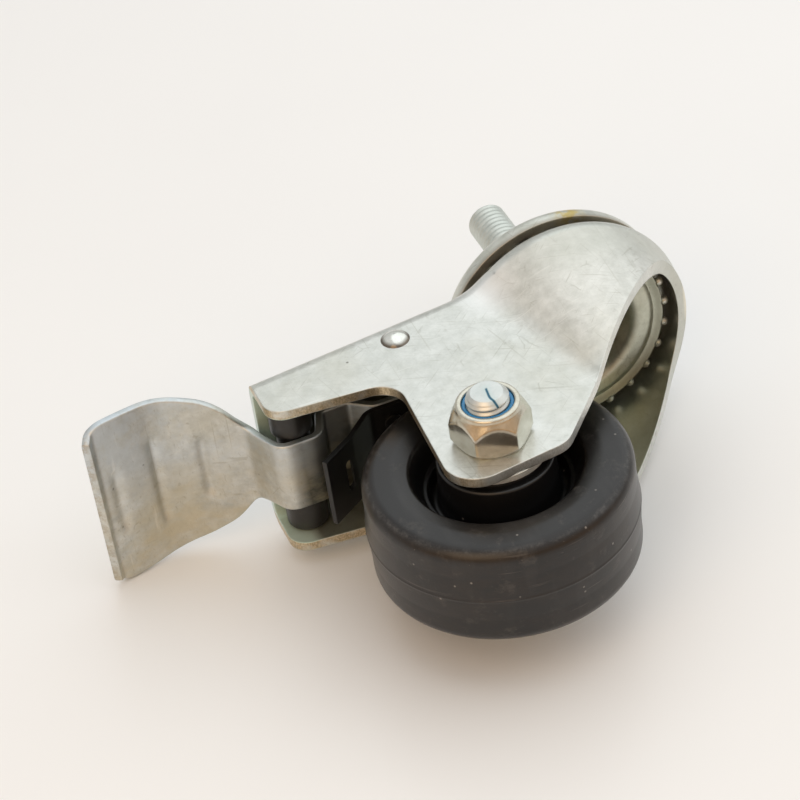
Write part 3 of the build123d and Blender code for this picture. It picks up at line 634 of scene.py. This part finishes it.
# Head: stem, plate, balls and cup, in millimetres
def notched(r, h, angle):
    """The riveted head's radius with its pressed notches."""
    cut = 0.0
    for k in range(NOTCH_COUNT):
        notch = math.radians(15 + 360 / NOTCH_COUNT * k)
        gap = (angle - notch + math.pi) % (2 * math.pi) - math.pi
        cut = max(cut, math.exp(-((gap / 0.17) ** 4)))
    return r - cut * 1.2 * max(0, (r - 4.5) / 2.7)


def make_stem():
    shank = threaded("shank", -2.0, 32.0, 4.0, CENTRE, STEM_WAY, 0.13, 72)
    collar_line = rounded([(0.5, -7.4), (6.6, -7.4), (6.6, -2.0), (0.5, -2.0)], [0, 0.2, 0.5, 0])
    collar = turned("collar", collar_line, CENTRE, STEM_WAY, 96)
    head_line = rounded(
        [(0.3, -10.9), (5.8, -10.9), (7.2, -9.6), (7.2, -8.3), (4.0, -8.3)], [0, 0.8, 0.8, 0.3, 0]
    )
    low_head = turned("low_head", head_line, CENTRE, STEM_WAY, 144, radius=notched)
    return join("stem_threaded", shank, collar, low_head)


def make_plate():
    points = [(4.0, -5.9), (9.0, -5.9), (11.2, -0.9), (21.3, -0.9), (21.3, -4.2)]
    line = rounded(points, [0, 1.4, 1.4, 2.6, 0], 8)
    return turned("plate_pressed", thick(line, PLATE_HALF_SHEET), CENTRE, STEM_WAY, 192, closed=True)


def ball(centre, radius, rows, cols, first):
    """Points and faces of one ball, numbered from first."""
    verts, faces = [], []
    for i in range(rows + 1):
        lat = math.pi * (i / rows - 0.5) * 0.999
        for j in range(cols):
            lon = 2 * math.pi * j / cols
            way = np.array((math.cos(lat) * math.cos(lon), math.cos(lat) * math.sin(lon), math.sin(lat)))
            verts.append(tuple(centre + radius * way))
    for i in range(rows):
        low, high = first + i * cols, first + (i + 1) * cols
        for j in range(cols):
            m = (j + 1) % cols
            faces.append((low + j, low + m, high + m, high + j))
    return verts, faces


def balls(name, count, radius, ring, height):
    verts, faces = [], []
    for b in range(count):
        turn = 2 * math.pi * b / count
        centre = np.array((ring * math.cos(turn), ring * math.sin(turn), height))
        more_verts, more_faces = ball(centre, radius, 14, 24, len(verts))
        verts += more_verts
        faces += more_faces
    return make(name, verts, faces, 60)


def tooth(number):
    """One blunt, domed tooth of the cup, as rings of 16 points from its root to its end."""
    turn = math.radians(360 / TOOTH_COUNT * (number + 0.5) - 1.0)
    along = np.array((math.cos(turn), math.sin(turn), 0))
    across = np.array((-math.sin(turn), math.cos(turn), 0))
    bar = [(18.9, 0.97)]
    bar += [(19.3 + 1.2 * t, math.sqrt(1 - t**4)) for t in (0, 0.3, 0.5, 0.65, 0.78, 0.88, 0.95, 0.99)]
    count = 16
    verts = []
    for r, w in bar:
        for a in np.linspace(0, 2 * math.pi, count + 1)[:-1]:
            height = np.array((0, 0, CUP_FLANGE_HEIGHT + CUP_HALF_SHEET * w * math.sin(a)))
            verts.append(tuple(along * r + across * 0.95 * w * math.cos(a) + height))
    faces = []
    for i in range(len(bar) - 1):
        low, high = i * count, (i + 1) * count
        for j in range(count):
            m = (j + 1) % count
            faces.append((low + j, low + m, high + m, high + j))
    faces.append(tuple(range(count - 1, -1, -1)))
    faces.append(tuple((len(bar) - 1) * count + j for j in range(count)))
    return make("tooth", verts, faces, 60)


def make_cup():
    """The cup with its rolled ridge and its teeth."""
    points = [(4.0, -7.55), (10.6, -7.55), (13.3, -11.31), (16.0, -11.31), (17.1, -10.61)]
    points.append((19.2, CUP_FLANGE_HEIGHT))
    line = rounded(points, [0, 1.6, 1.8, 1.2, 0.5, 0], 8)
    ring = turned("cup_ring", thick(line, CUP_HALF_SHEET), CENTRE, STEM_WAY, 200, closed=True)
    return join("cup_pressed", ring, *[tooth(k) for k in range(TOOTH_COUNT)])


dress(make_stem(), zinc_stem, "head", "stem")
dress(make_plate(), zinc_plate, "head", "top_plate")
dress(balls("balls_upper", 16, 2.25, 16.2, -3.79), ball_steel, "head", "upper_balls")
dress(balls("balls_lower", 12, 1.5, 15.0, -9.02), ball_steel, "head", "lower_balls")
dress(make_cup(), zinc_cup, "head", "lock_cup")


# Wheel, bolt and nut, in millimetres
def make_wheel():
    """The wheel from half its profile, with a fine ridge round the middle of the tread."""
    points = [
        (7.6, 0.0), (7.6, 12.7), (10.7, 12.7), (11.1, 3.5), (12.5, 3.5), (12.9, 6.0),
        (13.8, 6.0), (15.9, 10.4), (19.0, 10.8), (24.65, 10.8), (24.65, 4.8), (25.0, 0.0),
    ]
    side = rounded(points, [0, 0.3, 0.5, 0.8, 0.6, 0.25, 0.4, 0.8, 8.0, 3.0, 6.0, 0], 10)
    side = [p for p in side if not (p[0] > 24.9 and p[1] < 0.6)]
    side += [(25.0, 0.55), (25.0, 0.20), (25.07, 0.08), (25.07, 0.0)]
    ring = side + [(r, -h) for r, h in side[::-1][1:]]
    ring = ring[:-1] if ring[0] == ring[-1] else ring
    return turned("wheel_moulded", ring, AXLE, AXLE_WAY, 224, closed=True, smooth_angle=50)


def make_bolt():
    levels = [0.0, 0.25, 0.5, 0.8, 1.2, 1.7, 2.3, 3.0, 3.4, 3.8, 4.1, 4.4, 4.6, 4.8, 4.95, 5.1, 5.25, 5.3]
    seat = (AXLE[0], HEAD_SEAT, AXLE[2])
    form = hexed(HEX_FLATS, 0.0, 6.15, 7.4, 0.0, 5.3)
    head = turned("head", [(-1, h) for h in levels], seat, AXLE_WAY, 180, radius=form, smooth_angle=28)
    shaft = turned("shaft", [(4.0, -17.0), (4.0, 23.0)], AXLE, AXLE_WAY, 64)
    end = threaded("bolt_end", 22.5, BOLT_TIP, 3.95, AXLE, AXLE_WAY, 0.42, 96)
    return join("bolt_threaded", head, shaft, end)


def make_nut():
    """The nut: chamfered flats below, a rounded crown above and the bore inside."""
    levels = [0.0, 0.2, 0.4, 0.7, 1.0, 1.5, 2.2, 3.0, 3.8, 4.3, 4.6, 4.9, 5.2, 5.5, 5.8, 6.1, 6.4, 6.7, 6.88]
    points = [(6.1, 6.9), (5.95, 7.2), (5.75, 8.0), (4.75, 8.0), (4.7, 5.7), (4.02, 5.7), (4.02, 0.3)]
    crown = rounded(points, [0, 0.8, 0.7, 0.25, 0.1, 0, 0], 10)
    form = hexed(HEX_FLATS, math.radians(-13), 6.3, 6.1, 0.0, 6.9, 1.2, 0.56)
    profile = [(-1, h) for h in levels] + crown
    seat = (AXLE[0], NUT_SEAT, AXLE[2])
    return turned("nut_turned", profile, seat, AXLE_WAY, 216, closed=True, radius=form, smooth_angle=28)


def make_insert():
    line = rounded([(4.0, 5.7), (4.7, 5.7), (4.7, 7.72), (4.0, 7.6)], [0, 0, 0.3, 0])
    return turned("insert_ring", line, (AXLE[0], NUT_SEAT, AXLE[2]), AXLE_WAY, 96, closed=True)


dress(make_wheel(), wheel_black, "wheel", "wheel")
dress(make_bolt(), zinc_bolt, "fork", "axle_bolt")
dress(make_nut(), nut_steel, "fork", "axle_nut")
dress(make_insert(), blue_nylon, "fork", "nut_insert")


# Pedal: a strip along a bent line with pressed ribs, rounded edges and two ears
def ease(s):
    return s * s * (3 - 2 * s)


def cubic(s, a, b, gap, way_a, way_b):
    """A point at share s of the curve from a to b that leaves and arrives along two ways."""
    start = (1 + 2 * s) * (1 - s) ** 2 * a + s * (1 - s) ** 2 * gap * way_a
    return start + ease(s) * b + s * s * (s - 1) * gap * way_b


def spline(points, start_way, end_way, samples):
    """Points along a cubic through points with given end directions."""
    p = np.array(points, float)
    gaps = np.linalg.norm(np.diff(p, axis=0), axis=1)
    n = len(p)
    a, b = np.zeros((n, n)), np.zeros((n, 2))
    a[0, 0] = a[-1, -1] = 1
    b[0] = np.array(start_way) / np.linalg.norm(start_way)
    b[-1] = np.array(end_way) / np.linalg.norm(end_way)
    for i in range(1, n - 1):
        h0, h1 = gaps[i - 1], gaps[i]
        a[i, i - 1 : i + 2] = h1, 2 * (h0 + h1), h0
        b[i] = 3 * (h1 / h0 * (p[i] - p[i - 1]) + h0 / h1 * (p[i + 1] - p[i]))
    m = np.linalg.solve(a, b)
    line = []
    for i in range(n - 1):
        steps = max(2, int(samples * gaps[i] / gaps.sum()))
        for k in range(steps):
            line.append(cubic(k / steps, p[i], p[i + 1], gaps[i], m[i], m[i + 1]))
    line.append(p[-1])
    return np.array(line)


def pedal_path():
    """Points every 0.35 mm along the middle of the strip, from the tongue to the paddle's lip."""
    bends = [
        (18.6, -17.55, 0), (24.0, -18.17, 2.5), (30.0, STRIP_FLAT, 2.5), (43.3, STRIP_FLAT, 2.5),
        (47.4, -17.25, 2.5), (53.2, -17.25, 1.2), (55.4, -23.6, 2.4), (63.0, -23.6, 3.0),
        (66.9, -15.4, 4.0), (74.0, -12.4, 9.0), (82.0, -10.4, 14.0), (95.6, -14.0, 1.6), (96.8, -16.0, 0),
    ]
    line = np.array(rounded([b[:2] for b in bends], [b[2] for b in bends], 12))
    along = np.concatenate([[0], np.cumsum(np.linalg.norm(np.diff(line, axis=0), axis=1))])
    stops = np.arange(0, along[-1], 0.35)
    return np.stack([np.interp(stops, along, line[:, 0]), np.interp(stops, along, line[:, 1])], axis=1)


paddle_corners = [(64.5, 7.7), (70.5, 12.6), (77.0, 16.3), (90.5, 18.6), (92.9, 18.7)]
paddle_widths = spline(paddle_corners, (1, 0), (1, 0), 60)


def pedal_width(x):
    """Half the strip's width: tongue, flare, neck, paddle and the paddle's round corner."""
    if x < 26.0:
        return TONGUE_HALF_WIDTH
    if x < 32.5:
        s = (x - 26.0) / 6.5
        return TONGUE_HALF_WIDTH + 6.2 * s * s * (3 - 2 * s)
    if x < 64.5:
        return NECK_HALF_WIDTH
    if x < PADDLE_CORNER_START:
        return float(np.interp(x, paddle_widths[:, 0], paddle_widths[:, 1]))
    return PADDLE_FLAT_HALF_WIDTH + math.sqrt(max(0.0, PADDLE_CORNER**2 - (x - PADDLE_CORNER_START) ** 2))


def rib_height(x, y):
    total = 0.0
    for centre, length in RIBS:
        past = max(0.0, abs(y) - length / 2 + 0.8)
        total += RIB_HEIGHT * math.exp(-(((x - centre) / 1.0) ** 2)) * math.exp(-((past / 0.9) ** 2))
    return total


def strip_loop(x, columns):
    """The strip's section at x, as (across, up) pairs once round."""
    flat = pedal_width(x) - EDGE_RADIUS
    rise = STRIP_HALF_SHEET - EDGE_RADIUS
    turns = [math.radians(a) for a in (60, 25, 0, -25, -60)]
    loop = []
    for k in range(columns):
        y = flat * (2 * k / (columns - 1) - 1)
        loop.append((y, STRIP_HALF_SHEET + rib_height(x, y)))
    for a in turns:
        lift = math.copysign(rise, a) * (a != 0)
        loop.append((flat + EDGE_RADIUS * math.cos(a), lift + EDGE_RADIUS * math.sin(a)))
    for k in range(columns):
        y = flat * (1 - 2 * k / (columns - 1))
        loop.append((y, -STRIP_HALF_SHEET + rib_height(x, y)))
    for a in turns:
        lift = math.copysign(rise, a) * (a != 0)
        loop.append((-flat - EDGE_RADIUS * math.cos(a), -lift - EDGE_RADIUS * math.sin(a)))
    return loop


def make_strip():
    path = pedal_path()
    way = np.gradient(path, axis=0)
    way /= np.linalg.norm(way, axis=1)[:, None]
    columns = 41
    verts, faces = [], []
    for (x, z), (wx, wz) in zip(path, way):
        verts += [(x - wz * up, across, z + wx * up) for across, up in strip_loop(x, columns)]
    size = 2 * columns + 10
    for i in range(len(path) - 1):
        low, high = i * size, (i + 1) * size
        for k in range(size):
            m = (k + 1) % size
            faces.append((low + k, high + k, high + m, low + m))
    faces.append(tuple(range(size)))
    faces.append(tuple((len(path) - 1) * size + k for k in range(size - 1, -1, -1)))
    return make("pedal_strip", verts, faces, 40)


def make_ear(side):
    """The ear that stands up from the strip round the rivet pin."""
    outline = [(EAR_RADIUS * math.cos(a), EAR_RADIUS * math.sin(a)) for a in np.linspace(0, math.pi, 25)]
    outline += [(-EAR_RADIUS, -EAR_DROP), (EAR_RADIUS, -EAR_DROP)]
    n = len(outline)
    verts = [(PIN[0] + a, side * y, PIN[2] + b) for y in EAR_SIDES for a, b in outline]
    faces = [tuple(range(n)), tuple(range(2 * n - 1, n - 1, -1))]
    faces += [(k, (k + 1) % n, n + (k + 1) % n, n + k) for k in range(n)]
    return make("ear", verts, faces)


pedal = join("pedal_pressed", make_strip(), make_ear(-1), make_ear(1))
dress(pedal, zinc_pedal, "pedal", "pedal")

# Materials of the CAD pieces that show as they are
looks = {
    "fork": zinc,
    "hub_bushes": boss_black,
    "axle_sleeve": zinc_bright,
    "nut_side_washer": zinc_washer,
    "head_side_washer": zinc_washer,
    "pedal_pin": zinc_pin,
    "pedal_roller": boss_black,
    "brake_leaf": black_steel,
    "leaf_rivets": black_steel,
    "pedal_spring": ball_steel,
}
for name, material in looks.items():
    nodes[name].data.materials.clear()
    nodes[name].data.materials.append(material)

# Table that the castor lies on: its up direction is close to +Y
TABLE_UP = Vector((-0.0523, 0.9985, -0.0182)).normalized()
TABLE_FOOT = Vector((0.00122, -0.02327, 0.00042))
TABLE_GAP = 0.0002


def table_material():
    """White table that can't be seen from below."""
    material, nt = tree("table_white")
    co = object_place(nt)
    cloud = span(nt, noise(nt, co, 9, 3), 0.3, 0.7)
    tone = mix(nt, cloud, rgb(0.86, 0.862, 0.862), rgb(0.88, 0.882, 0.882))
    ins = {"Strength": 0.2, "Distance": 0.0001, "Height": noise(nt, co, 60, 3)}
    fine = node(nt, "Bump", ins).outputs[0]
    shader = node(nt, "BsdfPrincipled", {"Base Color": tone, "Roughness": 0.34, "Normal": fine})
    clear = node(nt, "BsdfTransparent")
    back_side = node(nt, "NewGeometry").outputs["Backfacing"]
    both = node(nt, "MixShader", {0: back_side, 1: shader.outputs[0], 2: clear.outputs[0]})
    nt.links.new(both.outputs[0], node(nt, "OutputMaterial").inputs[0])
    return material


bpy.ops.mesh.primitive_plane_add(size=6.0)
table = bpy.context.object
table.name = "table_top"
lying = TABLE_UP.to_track_quat("Z", "Y").to_matrix().to_4x4()
table.matrix_world = Matrix.Translation(TABLE_FOOT - TABLE_UP * TABLE_GAP) @ lying
table.data.materials.append(table_material())


def along(nt, way, fixed):
    """How far a direction points along a fixed one, from -1 to 1."""
    return node(nt, "VectorMath", {0: way, 1: fixed}, operation="DOT_PRODUCT").outputs["Value"]


def surroundings():
    """Bright above, grey behind the castor, warm towards the camera and white to the camera itself."""
    world = bpy.data.worlds.new("surroundings")
    bpy.context.scene.world = world
    world.use_nodes = True
    nt = world.node_tree
    nt.nodes.clear()
    way = node(nt, "TexCoord").outputs["Generated"]
    high = along(nt, way, tuple(TABLE_UP))
    behind = along(nt, way, (-0.265, 0.0, 0.964))
    level = mix(nt, span(nt, behind, -0.55, 0.35), rgb(0.80, 0.49, 0.26), rgb(0.64, 0.65, 0.64))
    sky = mix(nt, span(nt, high, 0.15, 0.75), level, rgb(0.85, 0.86, 0.86))
    sky = mix(nt, node(nt, "LightPath").outputs["Is Camera Ray"], sky, rgb(1, 1, 1))
    background = node(nt, "Background", {"Color": sky, "Strength": 0.85})
    nt.links.new(background.outputs[0], node(nt, "OutputWorld").inputs[0])


def lamp(name, at, size, power, colour):
    """A round area light that points at the middle of the castor."""
    aim = Vector((0.03, 0.0, -0.03))
    data = bpy.data.lights.new(name, "AREA")
    data.shape = "DISK"
    data.size = size
    data.energy = power
    data.color = colour
    made = bpy.data.objects.new(name, data)
    made.location = at
    made.rotation_euler = (aim - Vector(at)).to_track_quat("-Z", "Y").to_euler()
    bpy.context.scene.collection.objects.link(made)


def photo_camera():
    """The camera that was fitted to the photograph."""
    camera = bpy.data.objects.new("photo_camera", bpy.data.cameras.new("photo_camera"))
    bpy.context.scene.collection.objects.link(camera)
    camera.data.lens = 142.6
    camera.data.sensor_width = 36.0
    camera.data.shift_y = 0.00625
    camera.data.clip_start = 0.01
    right_way = Vector((-0.9238, -0.1278, -0.3609))
    up_way = Vector((-0.3224, 0.7680, 0.5534))
    ahead = Vector((-0.2065, -0.6276, 0.7507))
    place = Matrix((right_way, up_way, -ahead)).transposed().to_4x4()
    place.translation = Vector((0.1601, 0.3750, -0.4629))
    camera.matrix_world = place
    return camera


surroundings()
lamp("key", (-0.42, 0.74, 0.14), 1.7, 4.6, (0.92, 0.98, 1.0))
lamp("fill", (0.45, 0.55, -0.50), 0.7, 1.65, (1.0, 0.63, 0.30))
bpy.context.scene.camera = photo_camera()
bpy.context.scene.view_settings.view_transform = "Standard"
